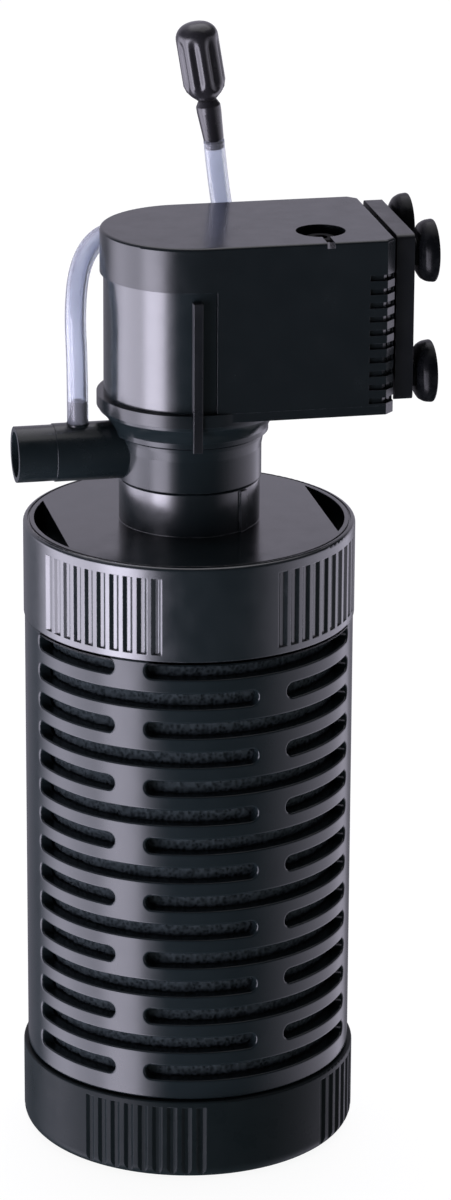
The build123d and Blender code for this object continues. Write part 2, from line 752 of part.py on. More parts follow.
os.makedirs("parts", exist_ok=True)
for node, shape in all_parts().items():
    export_step(shape, f"parts/{node}.step")
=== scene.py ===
from math import acos, cos, degrees, pi, radians, sin

import bpy
from mathutils import Matrix, Quaternion, Vector, noise


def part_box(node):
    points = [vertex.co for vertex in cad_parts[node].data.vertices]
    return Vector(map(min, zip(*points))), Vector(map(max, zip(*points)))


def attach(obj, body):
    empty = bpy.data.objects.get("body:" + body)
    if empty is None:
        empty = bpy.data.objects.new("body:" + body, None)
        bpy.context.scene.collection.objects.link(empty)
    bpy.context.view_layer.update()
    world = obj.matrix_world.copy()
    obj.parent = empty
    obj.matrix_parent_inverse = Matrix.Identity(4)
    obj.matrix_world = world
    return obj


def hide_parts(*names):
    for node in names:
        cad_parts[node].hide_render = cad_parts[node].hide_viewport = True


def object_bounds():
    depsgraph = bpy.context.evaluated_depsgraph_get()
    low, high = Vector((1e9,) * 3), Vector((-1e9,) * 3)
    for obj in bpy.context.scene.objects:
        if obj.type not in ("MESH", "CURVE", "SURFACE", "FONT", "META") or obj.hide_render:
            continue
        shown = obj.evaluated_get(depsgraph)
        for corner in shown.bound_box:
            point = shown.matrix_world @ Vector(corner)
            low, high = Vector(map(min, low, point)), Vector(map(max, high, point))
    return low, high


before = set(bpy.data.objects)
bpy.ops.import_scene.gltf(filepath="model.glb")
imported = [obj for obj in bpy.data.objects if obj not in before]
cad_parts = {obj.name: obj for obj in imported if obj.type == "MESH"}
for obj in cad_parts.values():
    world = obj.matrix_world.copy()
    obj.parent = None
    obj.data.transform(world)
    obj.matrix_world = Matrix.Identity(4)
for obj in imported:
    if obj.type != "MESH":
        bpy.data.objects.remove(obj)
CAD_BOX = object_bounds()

# A submersible aquarium filter: slotted sponge canister, swivelling pump head, air line, suction cups.
# Metres, +Z up, the suction cups towards +X and the outlet towards -X.

MM = 0.001

# ---- camera ---------------------------------------------------------------------------------
CAMERA_AZIMUTH = -11.8
CAMERA_ELEVATION = 19.0
CAMERA_DISTANCE = 1.4
CAMERA_LENS = 146.1
CAMERA_SENSOR = 36
CAMERA_CLIP = (0.05, 60)
AIM_RIGHT = 0.0105
AIM_HEIGHT = 0.1606
CAMERA_ROLL = 0.3

# ---- light ----------------------------------------------------------------------------------
# Radiance of each part of the surroundings
LEFT_PANEL = 5.7
LEFT_CORE = 5.0              # brighter middle of the left panel
RIGHT_PANEL = 1.65
BACK_GLOW = 0.62
TOP_GLOW = 0.47
DARK_ROOM = 0.02
FLOOR_GLOW = 0.93

# Where each part shows: compass bearings in degrees, 0 in front and positive towards +X, and the
# height of the direction, from -1 straight down to 1 straight up. A pair runs from no light to
# full light, and four numbers run from no light to full light and back.
LEFT_PANEL_BEARINGS = (-146, -104, -60, -25)
LEFT_CORE_BEARINGS = (-80, -66, -50, -38)
RIGHT_PANEL_BEARINGS = (26, 95, 125, 150)
PANEL_HEIGHTS = (-0.95, -0.75, 0.0, 0.22)
BACK_BEARINGS = (118, 155)
BACK_HEIGHTS = (-0.8, 0.3)
TOP_HEIGHTS = (0.45, 0.8)
TOP_DEPTHS = (-0.6, 0.1)     # how far towards the back
STUDIO_TINT = (0.95, 0.91, 1.09)
OVERHEAD_AZIMUTH = 150
OVERHEAD_ELEVATION = 72
OVERHEAD_DISTANCE = 1.5
OVERHEAD_SIZE = 1.7
OVERHEAD_WATTS = 10.5
LIGHT_AIM_HEIGHT = 0.15
FLOOR_GREY = 0.15
FLOOR_ROUGHNESS = 0.9
FLOOR_HALF_SIZE = 30
FLOOR_GAP = 0.3 * MM         # between the floor and the foot

# ---- air line -------------------------------------------------------------------------------
TUBE_R = 3.0 * MM
TUBE_BORE_R = 1.93 * MM      # a little less than the nipple's and the valve's 2 mm
TUBE_SEGMENTS = 40
TUBE_ROUTE = [
    (-32.2, 0.0, 215.7),
    (-32.2, 0.0, 232.0),
    (-33.0, -0.5, 247.5),
    (-30.5, 7.0, 259.0),
    (-23.5, 19.5, 264.0),
    (-13.0, 33.5, 262.5),
    (-11.0, 48.0, 252.0),
    (-9.5, 56.0, 236.5),
    (-0.5, 57.5, 223.5),
    (12.5, 52.5, 220.5),
    (25.0, 43.5, 229.0),
    (27.0, 35.5, 244.5),
    (17.5, 33.5, 259.0),
    (14.0, 30.0, 277.0),
    (12.9, 30.0, 288.3),
]
REGULATOR_LEAN = radians(9.5)
KNOB_Z0 = 12.3 * MM          # from the regulator's root to the knob's lower end
KNOB_LEN = 22.5 * MM
KNOB_R = 6.1 * MM
KNOB_FLUTES = 8
KNOB_FLUTE_DEPTH = 0.85 * MM
KNOB_FLUTE_SPAN = (3.2 * MM, 18.6 * MM)      # the flutes run out at these heights
KNOB_FLUTE_FADE = (2.0 * MM, 2.2 * MM)       # over which they reach full depth
KNOB_CROWN_Z = 17.9 * MM
KNOB_FOOT = ((1.0, 0.05), (2.9, 0.1), (4.4, 1.5), (5.5, 3.0))      # (radius, height) in mm
KNOB_LEVELS = (4.8, 6, 8, 10, 12, 14, 16, 17.5)     # heights of the straight part in mm
KNOB_SEGMENTS = 160

# ---- slotted basket -------------------------------------------------------------------------
WALL_R = 47.2 * MM
WALL_IN_R = 43.4 * MM
RING_R = 45.0 * MM
RING_IN_R = 42.4 * MM
WALL_Z0 = 24.9 * MM
WALL_Z1 = 158.1 * MM
HALF_MIDDLES = (83.5, 263.5)
SLOT_ROWS = 15
SLOT_ROW_LOW = 33.0 * MM
SLOT_PITCH = 8.73 * MM
SLOT_HALF_H = 2.2 * MM
SLOT_END_R = 2.05 * MM
SLOT_SPANS = (((-69.3, -31.3), (-19.9, 69.3)), ((-69.3, 19.9), (31.3, 69.3)))
LIP_OUT = 0.65 * MM          # rounding of a slot's edges, outside and inside
LIP_IN = 0.35 * MM
LUG_MIDDLES = (45, 135, 225, 315)
LUG_HEIGHTS = (11.0 * MM, 172.5 * MM)
LUG_HALF_SPAN = 6            # degrees
LUG_HALF_H = 1.5 * MM
LUG_REACH = 1.1 * MM         # outwards from the end ring
LUG_ROOT = 0.2 * MM          # into the end ring
RIM_SOFT = 0.5 * MM          # rounding of the wall's and the rings' ends
SPIDER_ARMS = 6
SPIDER_ARM_SPAN = (12, 18)   # degrees
SPIDER_ARM_H = 2.4 * MM
SPIDER_ARM_ROOTS = (1.5 * MM, 0.3 * MM)      # from the core tube, and into the end ring
SPIDER_HUB_H = 4 * MM
SPIDER_HUB_RS = (0.1 * MM, 2.0 * MM)         # outwards from the core tube
SKIN_INSET = 1.0 * MM        # from the wall's ends to its first and last levels
SLOT_END_ANGLES = (0, 15, 32, 50, 70, 90)    # columns round a slot's end
LIP_ANGLES = (28, 58, 90)    # rings round a slot's outer lip
COLUMN_GAP = 2.6             # degrees between columns away from the slot ends
DEGREES_PER_M = degrees(1 / WALL_R)

# ---- foam sleeve ----------------------------------------------------------------------------
FOAM_R = 43.0 * MM           # against the slotted wall
FOAM_END_R = 41.9 * MM       # within the end rings
FOAM_BORE_R = 14.8 * MM
FOAM_COLUMNS = 300
FOAM_ROWS = 170
FOAM_CELL = 2.6 * MM
FOAM_PIT = 1.3 * MM          # depth of the open cells
FOAM_PIT_EDGE = 0.55         # share of a cell at which its pit ends
FOAM_LUMP = 0.25 * MM
FOAM_LUMP_SIZE = 11 * MM
FOAM_END_ROUND = 1.2 * MM
FOAM_STEP_H = 3 * MM         # over which it narrows into the end rings

# ---- suction cup ----------------------------------------------------------------------------
CUP_STEM = (                 # (radius, height) in mm, up the button, the neck and its ridge
    (1.1, 0.0), (3.1, 0.15), (3.4, 0.6), (3.35, 1.3), (2.5, 1.4),
    (2.5, 3.45), (4.15, 3.5), (4.25, 3.9), (4.0, 4.3), (4.1, 4.75),
)
CUP_NECK_R, CUP_NECK_Z = 4.1 * MM, 4.75 * MM
CUP_BELL_H = 4.1 * MM
CUP_HOLLOW = 3.2 * MM
CUP_LIP_IN = 0.8 * MM        # from the rim to the hollow's edge
CUP_LIP_H = 0.2 * MM
CUP_RIDGE = 0.12 * MM        # round the outside of the bell
CUP_STEP = 0.18 * MM         # inside the hollow
CUP_CORNER = 0.25 * MM
CUP_SEGMENTS = 80

# ---- looks ----------------------------------------------------------------------------------
# Linear colours: the painted shade deep in the foam's pores and the foam's surface, and the hose's two
# tints
FOAM_PORE_SHADE = (0.0086, 0.0128, 0.0150)
FOAM_FACE = (0.0360, 0.0460, 0.0520)
HOSE_DARK = (0.62, 0.65, 0.76)
HOSE_PALE = (0.72, 0.75, 0.86)
BLACK = (0.0056, 0.0084, 0.0096)
SCUFFED_AND_LIT_EDGE = (0.05, 0.052, 0.06)         # black plastic at its edges: rubbed wear, and a painted highlight along the edges

# Texture scales, in features per metre
PLASTIC_GRAIN = 2600
SINK_WAVES = 55
GLOSS_PATCHES = 140
SCUFFS = 520
RUBBER_BLOOM = 300
RUBBER_GRAIN = 3200
FOAM_PORES = 900
HOSE_STREAKS = 1500
HOSE_CLOUD = 160
CERAMIC_SPECKLE = 1800
METAL_PATCHES = 400
FOAM_PATCHES = 200
SHEETS = 900                 # laminations
WINDINGS = 1100


def add_camera():
    azimuth, elevation = radians(CAMERA_AZIMUTH), radians(CAMERA_ELEVATION)
    back = Vector((sin(azimuth) * cos(elevation), -cos(azimuth) * cos(elevation), sin(elevation)))
    aim = Vector((AIM_RIGHT * cos(azimuth), AIM_RIGHT * sin(azimuth), AIM_HEIGHT))
    data = bpy.data.cameras.new("camera")
    data.sensor_width = CAMERA_SENSOR
    data.lens = CAMERA_LENS
    data.clip_start, data.clip_end = CAMERA_CLIP
    camera = bpy.data.objects.new("camera", data)
    camera.location = aim + back * CAMERA_DISTANCE
    camera.rotation_mode = "QUATERNION"
    level = (-back).to_track_quat("-Z", "Y")
    camera.rotation_quaternion = level @ Quaternion((0, 0, 1), radians(CAMERA_ROLL))
    bpy.context.scene.collection.objects.link(camera)
    bpy.context.scene.camera = camera


# ---- mesh helpers ---------------------------------------------------------------------------
def mesh_object(name, vertices, faces, smooth=True):
    mesh = bpy.data.meshes.new(name)
    mesh.from_pydata([tuple(v) for v in vertices], [], faces)
    mesh.validate()
    mesh.polygons.foreach_set("use_smooth", [smooth] * len(mesh.polygons))
    mesh.update()
    piece = bpy.data.objects.new(name, mesh)
    bpy.context.scene.collection.objects.link(piece)
    return piece


def grid_faces(rows, columns, closed_rows=False):
    """Quads over a grid of rings; the columns close round, and the rows too if closed_rows."""
    faces = []
    last = rows if closed_rows else rows - 1
    for i in range(last):
        for j in range(columns):
            a = i * columns + j
            b = i * columns + (j + 1) % columns
            c = ((i + 1) % rows) * columns + (j + 1) % columns
            d = ((i + 1) % rows) * columns + j
            faces.append((a, b, c, d))
    return faces


def lathe(name, profile, segments=96, place=Matrix(), radius_at=None):
    """A closed form turned about Z from (radius, height) pairs; radius_at may change the radius."""
    vertices = []
    for r, z in profile:
        for j in range(segments):
            angle = 2 * pi * j / segments
            radius = r if radius_at is None else radius_at(r, z, angle)
            vertices.append(place @ Vector((radius * cos(angle), radius * sin(angle), z)))
    faces = grid_faces(len(profile), segments)
    faces.append(tuple(reversed(range(segments))))
    top = (len(profile) - 1) * segments
    faces.append(tuple(range(top, top + segments)))
    return mesh_object(name, vertices, faces)


def rounded(points, steps=5, radius=0.4 * MM):
    """A (radius, height) outline with each inner corner rounded."""
    out = [points[0]]
    for before, here, after in zip(points, points[1:], points[2:]):
        a, b, c = Vector(before), Vector(here), Vector(after)
        reach = min(radius, (a - b).length * 0.45, (c - b).length * 0.45)
        start = b + (a - b).normalized() * reach
        end = b + (c - b).normalized() * reach
        for k in range(steps + 1):
            t = k / steps
            p = start * (1 - t) ** 2 + b * 2 * t * (1 - t) + end * t ** 2
            out.append((p.x, p.y))
    out.append(points[-1])
    return out


# ---- canister -------------------------------------------------------------------------------
def column_angles(grow):
    """Column angles over half a turn, closer together across the slots' round ends."""
    steps = [radians(a) for a in SLOT_END_ANGLES]
    reach = SLOT_END_R + grow
    ends = {span[1] for spans in SLOT_SPANS for span in spans}
    starts = {span[0] for spans in SLOT_SPANS for span in spans}
    edges = sorted(starts | ends)
    zones = []
    for edge in edges:
        outward = 1 if edge in ends else -1
        zone = [edge + outward * (grow - reach * (1 - cos(a))) * DEGREES_PER_M for a in steps]
        zones.append(zone if outward < 0 else zone[::-1])
    edges.append(edges[0] + 180)
    zones.append([zones[0][0] + 180])
    angles = []
    for n, zone in enumerate(zones[:-1]):
        gaps = max(2, round((edges[n + 1] - edges[n]) / COLUMN_GAP))
        last, following = zone[-1], zones[n + 1][0]
        angles += zone + [last + (following - last) * k / gaps for k in range(1, gaps)]
    return angles


def slot_edge(angle, spans, grow):
    """(span number, half height, sideways, upright) of a slot's edge; None beside the slots."""
    for number, (start, end) in enumerate(spans):
        from_start = (angle - start) / DEGREES_PER_M + grow
        from_end = (end - angle) / DEGREES_PER_M + grow
        nearest = min(from_start, from_end)
        if nearest < -1e-7:
            continue
        reach = SLOT_END_R + grow
        turn = acos(max(-1, min(1, 1 - max(nearest, 0) / reach))) if nearest < reach else pi / 2
        half = SLOT_HALF_H - SLOT_END_R + reach * sin(turn)
        return number, half, (-1 if from_start < from_end else 1) * cos(turn), sin(turn)
    return None


def around(r, angle, z):
    return Vector((r * cos(radians(angle)), r * sin(radians(angle)), z))


class Shell:
    """Faces with a stated normal at each corner."""

    def __init__(self):
        self.vertices, self.faces, self.normals = [], [], []

    def vertex(self, place):
        self.vertices.append(place)
        return len(self.vertices) - 1

    def face(self, corners, normals):
        self.faces.append(tuple(corners))
        self.normals += normals

    def flat_face(self, corners):
        a, b, c = (self.vertices[k] for k in corners[:3])
        normal = (b - a).cross(c - a).normalized()
        self.face(corners, [normal] * len(corners))

    def make(self, name):
        mesh = bpy.data.meshes.new(name)
        mesh.from_pydata(self.vertices, [], self.faces)
        mesh.polygons.foreach_set("use_smooth", [True] * len(mesh.polygons))
        mesh.normals_split_custom_set(self.normals)
        mesh.update()
        piece = bpy.data.objects.new(name, mesh)
        bpy.context.scene.collection.objects.link(piece)
        return piece


def slotted_skin(shell, r, grow, facing):
    """One face of the slotted wall. Returns its columns and its vertex numbers, level by level."""
    half_turn = column_angles(grow)
    columns = []
    for middle in HALF_MIDDLES:
        for angle in half_turn:
            edges = [slot_edge(wrapped, spans, grow) for wrapped, spans in
                     ((angle if angle < 90 else angle - 180, spans) for spans in SLOT_SPANS)]
            columns.append((middle + angle, middle, edges))
    thin = SLOT_HALF_H - SLOT_END_R
    levels = [[shell.vertex(around(r, angle, WALL_Z0 + SKIN_INSET)) for angle, _, _ in columns]]
    for row in range(SLOT_ROWS):
        z = SLOT_ROW_LOW + row * SLOT_PITCH
        for side in (-1, 1):
            level = []
            for angle, _, edges in columns:
                edge = edges[row % 2]
                level.append(shell.vertex(around(r, angle, z + side * (edge[1] if edge else thin))))
            levels.append(level)
    levels.append([shell.vertex(around(r, angle, WALL_Z1 - SKIN_INSET)) for angle, _, _ in columns])
    count = len(columns)
    for i, (low, high) in enumerate(zip(levels, levels[1:])):
        row = (i - 1) // 2 if i % 2 == 1 else None
        for j in range(count):
            k = (j + 1) % count
            if row is not None and is_open(columns, j, k, row):
                continue
            corners = [low[j], low[k], high[k], high[j]]
            outward = [around(facing, columns[n][0], 0) for n in (j, k, k, j)]
            if facing < 0:
                corners, outward = corners[::-1], outward[::-1]
            shell.face(corners, outward)
    return columns, levels


def is_open(columns, j, k, row):
    a, b = columns[j][2][row % 2], columns[k][2][row % 2]
    return a is not None and b is not None and a[0] == b[0] and columns[j][1] == columns[k][1]


def slot_loops(columns, row):
    """Each slot of a row as (level side, column) pairs, along its lower edge and back on top."""
    loops = []
    count = len(columns)
    for j in range(count):
        if is_open(columns, j, (j + 1) % count, row) and not is_open(columns, j - 1, j, row):
            run = [j]
            while is_open(columns, run[-1], (run[-1] + 1) % count, row):
                run.append((run[-1] + 1) % count)
            loops.append([(0, n) for n in run] + [(1, n) for n in reversed(run)])
    return loops


def slot_walls(shell, outer, inner):
    """Rounded lips and the wall through the basket, slot by slot."""
    columns, levels = outer
    _, inner_levels = inner
    plain = column_angles(0)
    base = [middle + angle for middle in HALF_MIDDLES for angle in plain]
    rings = [(radians(a), WALL_R - LIP_OUT * (1 - cos(radians(a)))) for a in LIP_ANGLES]
    rings.append((pi / 2, WALL_IN_R + LIP_IN))
    for row in range(SLOT_ROWS):
        z = SLOT_ROW_LOW + row * SLOT_PITCH
        for loop in slot_loops(columns, row):
            stations = []
            for side, n in loop:
                up = 1 if side else -1
                _, half, across, upright = columns[n][2][row % 2]
                outline_z = z + up * (half - LIP_OUT * upright)
                into = -(around(1, base[n] + 90, 0) * across + Vector((0, 0, up * upright)))
                out = around(1, base[n], 0)
                chain = [(levels[1 + 2 * row + side][n], out)]
                for turn, r in rings:
                    share = sin(turn)
                    angle = columns[n][0] * (1 - share) + base[n] * share
                    level_z = (z + up * half) * (1 - share) + outline_z * share
                    normal = out * cos(turn) + into * sin(turn)
                    chain.append((shell.vertex(around(r, angle, level_z)), normal))
                chain.append((inner_levels[1 + 2 * row + side][n], (into - out).normalized()))
                stations.append(chain)
            for here, following in zip(stations, stations[1:] + stations[:1]):
                for k in range(len(here) - 1):
                    quad = (here[k], following[k], following[k + 1], here[k + 1])
                    shell.face([q[0] for q in quad], [q[1] for q in quad])


def end_ring(shell, outer_level, inner_level, columns, wall_z, ring_z):
    """Closes the wall at one end: its rounded rim, then the stepped-in ring and back inside."""
    up = 1 if ring_z > wall_z else -1
    corner = 0.3 * RIM_SOFT
    outline = [
        (WALL_R, wall_z - up * RIM_SOFT),
        (WALL_R - corner, wall_z - up * corner),
        (WALL_R - RIM_SOFT, wall_z),
        (RING_R, wall_z),
        (RING_R, ring_z - up * RIM_SOFT),
        (RING_R - RIM_SOFT, ring_z),
        (RING_IN_R, ring_z),
        (RING_IN_R, wall_z),
    ]
    rings = [outer_level]
    for r, z in outline:
        rings.append([shell.vertex(around(r, angle, z)) for angle, _, _ in columns])
    rings.append(inner_level)
    count = len(columns)
    for a, b in zip(rings, rings[1:]):
        for j in range(count):
            k = (j + 1) % count
            corners = [a[j], a[k], b[k], b[j]]
            shell.flat_face(corners if up > 0 else corners[::-1])


def curved_block(shell, r0, r1, z0, z1, start, end, steps=6):
    """A block that follows the canister's curve, such as a bayonet lug."""
    rings = []
    for k in range(steps + 1):
        angle = start + (end - start) * k / steps
        corners = ((r0, z0), (r1, z0), (r1, z1), (r0, z1))
        rings.append([shell.vertex(around(r, angle, z)) for r, z in corners])
    for a, b in zip(rings, rings[1:]):
        for n in range(4):
            m = (n + 1) % 4
            shell.flat_face([a[n], b[n], b[m], a[m]])
    shell.flat_face(rings[0])
    shell.flat_face(rings[-1][::-1])


def slotted_basket(material):
    """The slotted canister wall with rounded slots, its end rings, bayonet lugs and core spider."""
    low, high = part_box("filter_basket")
    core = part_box("core_tube")[1].x
    shell = Shell()
    outer = slotted_skin(shell, WALL_R, LIP_OUT, 1)
    inner = slotted_skin(shell, WALL_IN_R, LIP_IN, -1)
    slot_walls(shell, outer, inner)
    end_ring(shell, outer[1][0], inner[1][0], outer[0], WALL_Z0, low.z)
    end_ring(shell, outer[1][-1], inner[1][-1], outer[0], WALL_Z1, high.z)
    for middle in LUG_MIDDLES:
        for z in LUG_HEIGHTS:
            curved_block(shell, RING_R - LUG_ROOT, RING_R + LUG_REACH, z - LUG_HALF_H, z + LUG_HALF_H,
                         middle - LUG_HALF_SPAN, middle + LUG_HALF_SPAN)
    hub_in_r, hub_r = (core + reach for reach in SPIDER_HUB_RS)
    curved_block(shell, hub_in_r, hub_r, low.z, low.z + SPIDER_HUB_H, 0, 360, 48)
    arm_in_r, arm_r = core + SPIDER_ARM_ROOTS[0], RING_IN_R + SPIDER_ARM_ROOTS[1]
    for n in range(SPIDER_ARMS):
        start, end = (360 // SPIDER_ARMS * n + angle for angle in SPIDER_ARM_SPAN)
        curved_block(shell, arm_in_r, arm_r, low.z, low.z + SPIDER_ARM_H, start, end, 2)
    basket = shell.make("slotted_basket")
    basket.data.materials.append(material)
    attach(basket, "canister")
    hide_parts("filter_basket")


def foam_sleeve(material):
    """The sponge: a sleeve whose surface is broken by open cells and gentle lumps."""
    low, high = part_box("filter_sponge")
    vertices = []
    for i in range(FOAM_ROWS):
        z = low.z + (high.z - low.z) * i / (FOAM_ROWS - 1)
        end_round = min(1.0, min(i, FOAM_ROWS - 1 - i) / 3)
        inside_wall = min(z - WALL_Z0, WALL_Z1 - z) / FOAM_STEP_H
        outer_r = FOAM_END_R + (FOAM_R - FOAM_END_R) * min(max(inside_wall, 0.0), 1.0)
        for j in range(FOAM_COLUMNS):
            angle = 2 * pi * j / FOAM_COLUMNS
            place = Vector((outer_r * cos(angle), outer_r * sin(angle), z))
            distances, _ = noise.voronoi(place / FOAM_CELL)
            pit = max(0.0, FOAM_PIT_EDGE - distances[0]) * FOAM_PIT
            lump = noise.noise(place / FOAM_LUMP_SIZE) * FOAM_LUMP
            r = outer_r - pit - abs(lump) - (1 - end_round) ** 2 * FOAM_END_ROUND
            vertices.append((r * cos(angle), r * sin(angle), z))
    for z in (high.z, low.z):
        for j in range(FOAM_COLUMNS):
            angle = 2 * pi * j / FOAM_COLUMNS
            vertices.append((FOAM_BORE_R * cos(angle), FOAM_BORE_R * sin(angle), z))
    faces = grid_faces(FOAM_ROWS + 2, FOAM_COLUMNS, closed_rows=True)
    sleeve = mesh_object("foam_sleeve", vertices, faces)
    sleeve.data.materials.append(material)
    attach(sleeve, "canister")
    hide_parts("filter_sponge")


# ---- suction cups and regulator -------------------------------------------------------------
def suction_cup(node, material):
    """Soft cup: a button through the bracket, a ridged neck, a bell and a hollow with a step in it."""
    low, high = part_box(node)
    rim = high.x - low.x
    r = (high.y - low.y) / 2
    outline = [(0.05 * r, 0.35 * MM)]
    outline += [(stem_r * MM, z * MM) for stem_r, z in CUP_STEM]
    bell = r - CUP_NECK_R
    for k in range(1, 10):
        turn = pi / 2 * k / 9
        ridge = CUP_RIDGE if k == 5 else 0.0
        bell_r = CUP_NECK_R + (bell - 0.1 * MM) * sin(turn) + ridge
        outline.append((bell_r, CUP_NECK_Z + CUP_BELL_H * (1 - cos(turn))))
    outline += [(r, rim - 0.5 * MM), (r - 0.15 * MM, rim - 0.1 * MM)]
    outline += [(r - 0.45 * MM, rim), (r - CUP_LIP_IN, rim - CUP_LIP_H)]
    for k in range(1, 9):
        share = 1 - k / 9
        step = CUP_STEP if k in (4, 5) else 0.0
        hollow_z = rim - CUP_LIP_H - CUP_HOLLOW * (1 - share ** 2) + step
        outline.append(((r - CUP_LIP_IN) * share + 0.05 * MM, hollow_z))
    place = Matrix.Translation(Vector((low.x, (low.y + high.y) / 2, (low.z + high.z) / 2)))
    place = place @ Matrix.Rotation(pi / 2, 4, "Y")
    cup = lathe(node + "_soft", rounded(outline, 2, CUP_CORNER), CUP_SEGMENTS, place)
    cup.data.materials.append(material)
    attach(cup, "bracket")
    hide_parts(node)


def regulator_knob(material):
    """Fluted knob with a rounded head, on the leaning regulator."""
    outline = [(r * MM, z * MM) for r, z in KNOB_FOOT]
    outline += [(KNOB_R, z * MM) for z in KNOB_LEVELS]
    crown = KNOB_LEN - KNOB_CROWN_Z
    for k in range(1, 12):
        turn = pi / 2 * k / 11.5
        outline.append((KNOB_R * cos(turn) ** 0.75, KNOB_CROWN_Z + crown * sin(turn)))

    def fluted(r, z, angle):
        start = max((z - KNOB_FLUTE_SPAN[0]) / KNOB_FLUTE_FADE[0], 0.0)
        end = max((KNOB_FLUTE_SPAN[1] - z) / KNOB_FLUTE_FADE[1], 0.0)
        wave = (0.5 + 0.5 * cos(KNOB_FLUTES * angle + pi)) ** 1.6
        return r - KNOB_FLUTE_DEPTH * min(start, end, 1.0) * wave

    root = Vector(TUBE_ROUTE[-1]) * MM
    lean = Matrix.Rotation(-REGULATOR_LEAN, 4, "Y")
    place = Matrix.Translation(root) @ lean @ Matrix.Translation((0, 0, KNOB_Z0))
    knob = lathe("fluted_knob", outline, KNOB_SEGMENTS, place, fluted)
    knob.data.materials.append(material)
    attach(knob, "regulator")
    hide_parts("regulator_knob")


# ---- materials ------------------------------------------------------------------------------
def new_material(name):
    material = bpy.data.materials.new(name)
    material.use_nodes = True
    tree = material.node_tree
    shader = tree.nodes["Principled BSDF"]
    return material, tree, shader


def add_noise(tree, scale, detail=3.0, roughness=0.55):
    coordinates = tree.nodes.new("ShaderNodeTexCoord")
    texture = tree.nodes.new("ShaderNodeTexNoise")
    texture.inputs["Scale"].default_value = scale
    texture.inputs["Detail"].default_value = detail
    texture.inputs["Roughness"].default_value = roughness
    tree.links.new(coordinates.outputs["Object"], texture.inputs["Vector"])
    return texture.outputs["Fac"]


def remap(tree, value, low, high, to_low, to_high):
    node = tree.nodes.new("ShaderNodeMapRange")
    node.inputs["From Min"].default_value = low
    node.inputs["From Max"].default_value = high
    node.inputs["To Min"].default_value = to_low
    node.inputs["To Max"].default_value = to_high
    tree.links.new(value, node.inputs["Value"])
    return node.outputs["Result"]


def math_node(tree, operation, a, b):
    node = tree.nodes.new("ShaderNodeMath")
    node.operation = operation
    for socket, value in zip(node.inputs, (a, b)):
        if isinstance(value, (int, float)):
            socket.default_value = value
        else:
            tree.links.new(value, socket)
    return node.outputs["Value"]


def mix_colour(tree, factor, a, b):
    node = tree.nodes.new("ShaderNodeMix")
    node.data_type = "RGBA"
    tree.links.new(factor, node.inputs["Factor"])
    for socket, value in ((node.inputs[6], a), (node.inputs[7], b)):
        if isinstance(value, tuple):
            socket.default_value = (*value, 1)
        else:
            tree.links.new(value, socket)
    return node.outputs[2]


def add_bump(tree, height, strength, distance, normal=None):
    bump = tree.nodes.new("ShaderNodeBump")
    bump.inputs["Strength"].default_value = strength
    bump.inputs["Distance"].default_value = distance
    tree.links.new(height, bump.inputs["Height"])
    if normal is not None:
        tree.links.new(normal, bump.inputs["Normal"])
    return bump.outputs["Normal"]


def edge_mask(tree, radius):
    """The rounded normal near edges, and 1 on the edges themselves."""
    bevel = tree.nodes.new("ShaderNodeBevel")
    bevel.samples = 6
    bevel.inputs["Radius"].default_value = radius
    geometry = tree.nodes.new("ShaderNodeNewGeometry")
    dot = tree.nodes.new("ShaderNodeVectorMath")
    dot.operation = "DOT_PRODUCT"
    tree.links.new(bevel.outputs["Normal"], dot.inputs[0])
    tree.links.new(geometry.outputs["Normal"], dot.inputs[1])
    return bevel.outputs["Normal"], remap(tree, dot.outputs["Value"], 0.99, 0.80, 0.0, 1.0)


def moulded_plastic(name, colour, edge_colour_scuffed_and_lit, roughness, grain=0.02, edge=0.35 * MM, ior=1.42):
    """Injection-moulded plastic: fine texture, slow sink waves, uneven gloss, and edges in a lighter
    colour, partly rubbed wear and partly a painted highlight.
    """
    material, tree, shader = new_material(name)
    fine = add_noise(tree, PLASTIC_GRAIN, 2.0)
    slow = add_noise(tree, SINK_WAVES, 2.0)
    patchy = add_noise(tree, GLOSS_PATCHES, 4.0, 0.6)
    edge_normal, edge_on = edge_mask(tree, edge)
    tint = mix_colour(tree, patchy, colour, tuple(c * 1.35 for c in colour))
    scuffs = remap(tree, add_noise(tree, SCUFFS, 5.0, 0.7), 0.42, 0.68, 0.15, 1.0)
    # Edges take the lighter colour in scuffed patches: rubbed wear, and a painted highlight along the
    # edges.
    scuff_and_highlight = math_node(tree, "MULTIPLY", edge_on, scuffs)
    tree.links.new(mix_colour(tree, scuff_and_highlight, tint, edge_colour_scuffed_and_lit), shader.inputs["Base Color"])
    gloss = remap(tree, patchy, 0.3, 0.75, roughness * 0.8, roughness * 1.35)
    tree.links.new(math_node(tree, "ADD", gloss, math_node(tree, "MULTIPLY", scuff_and_highlight, 0.12)),
                   shader.inputs["Roughness"])
    waves = add_bump(tree, slow, 0.25, 0.25 * MM, edge_normal)
    tree.links.new(add_bump(tree, fine, grain * 5, 0.04 * MM, waves), shader.inputs["Normal"])
    shader.inputs["IOR"].default_value = ior
    return material


def soft_rubber(name, colour, roughness=0.5, ior=1.45):
    material, tree, shader = new_material(name)
    bloom = add_noise(tree, RUBBER_BLOOM, 5.0, 0.65)
    fine = add_noise(tree, RUBBER_GRAIN, 2.0)
    dusty = tuple(c * 2.2 + 0.003 for c in colour)
    tree.links.new(mix_colour(tree, remap(tree, bloom, 0.45, 0.75, 0.0, 0.7), colour, dusty),
                   shader.inputs["Base Color"])
    tree.links.new(remap(tree, bloom, 0.3, 0.7, roughness * 0.8, roughness * 1.25),
                   shader.inputs["Roughness"])
    tree.links.new(add_bump(tree, fine, 0.25, 0.05 * MM), shader.inputs["Normal"])
    shader.inputs["IOR"].default_value = ior
    return material


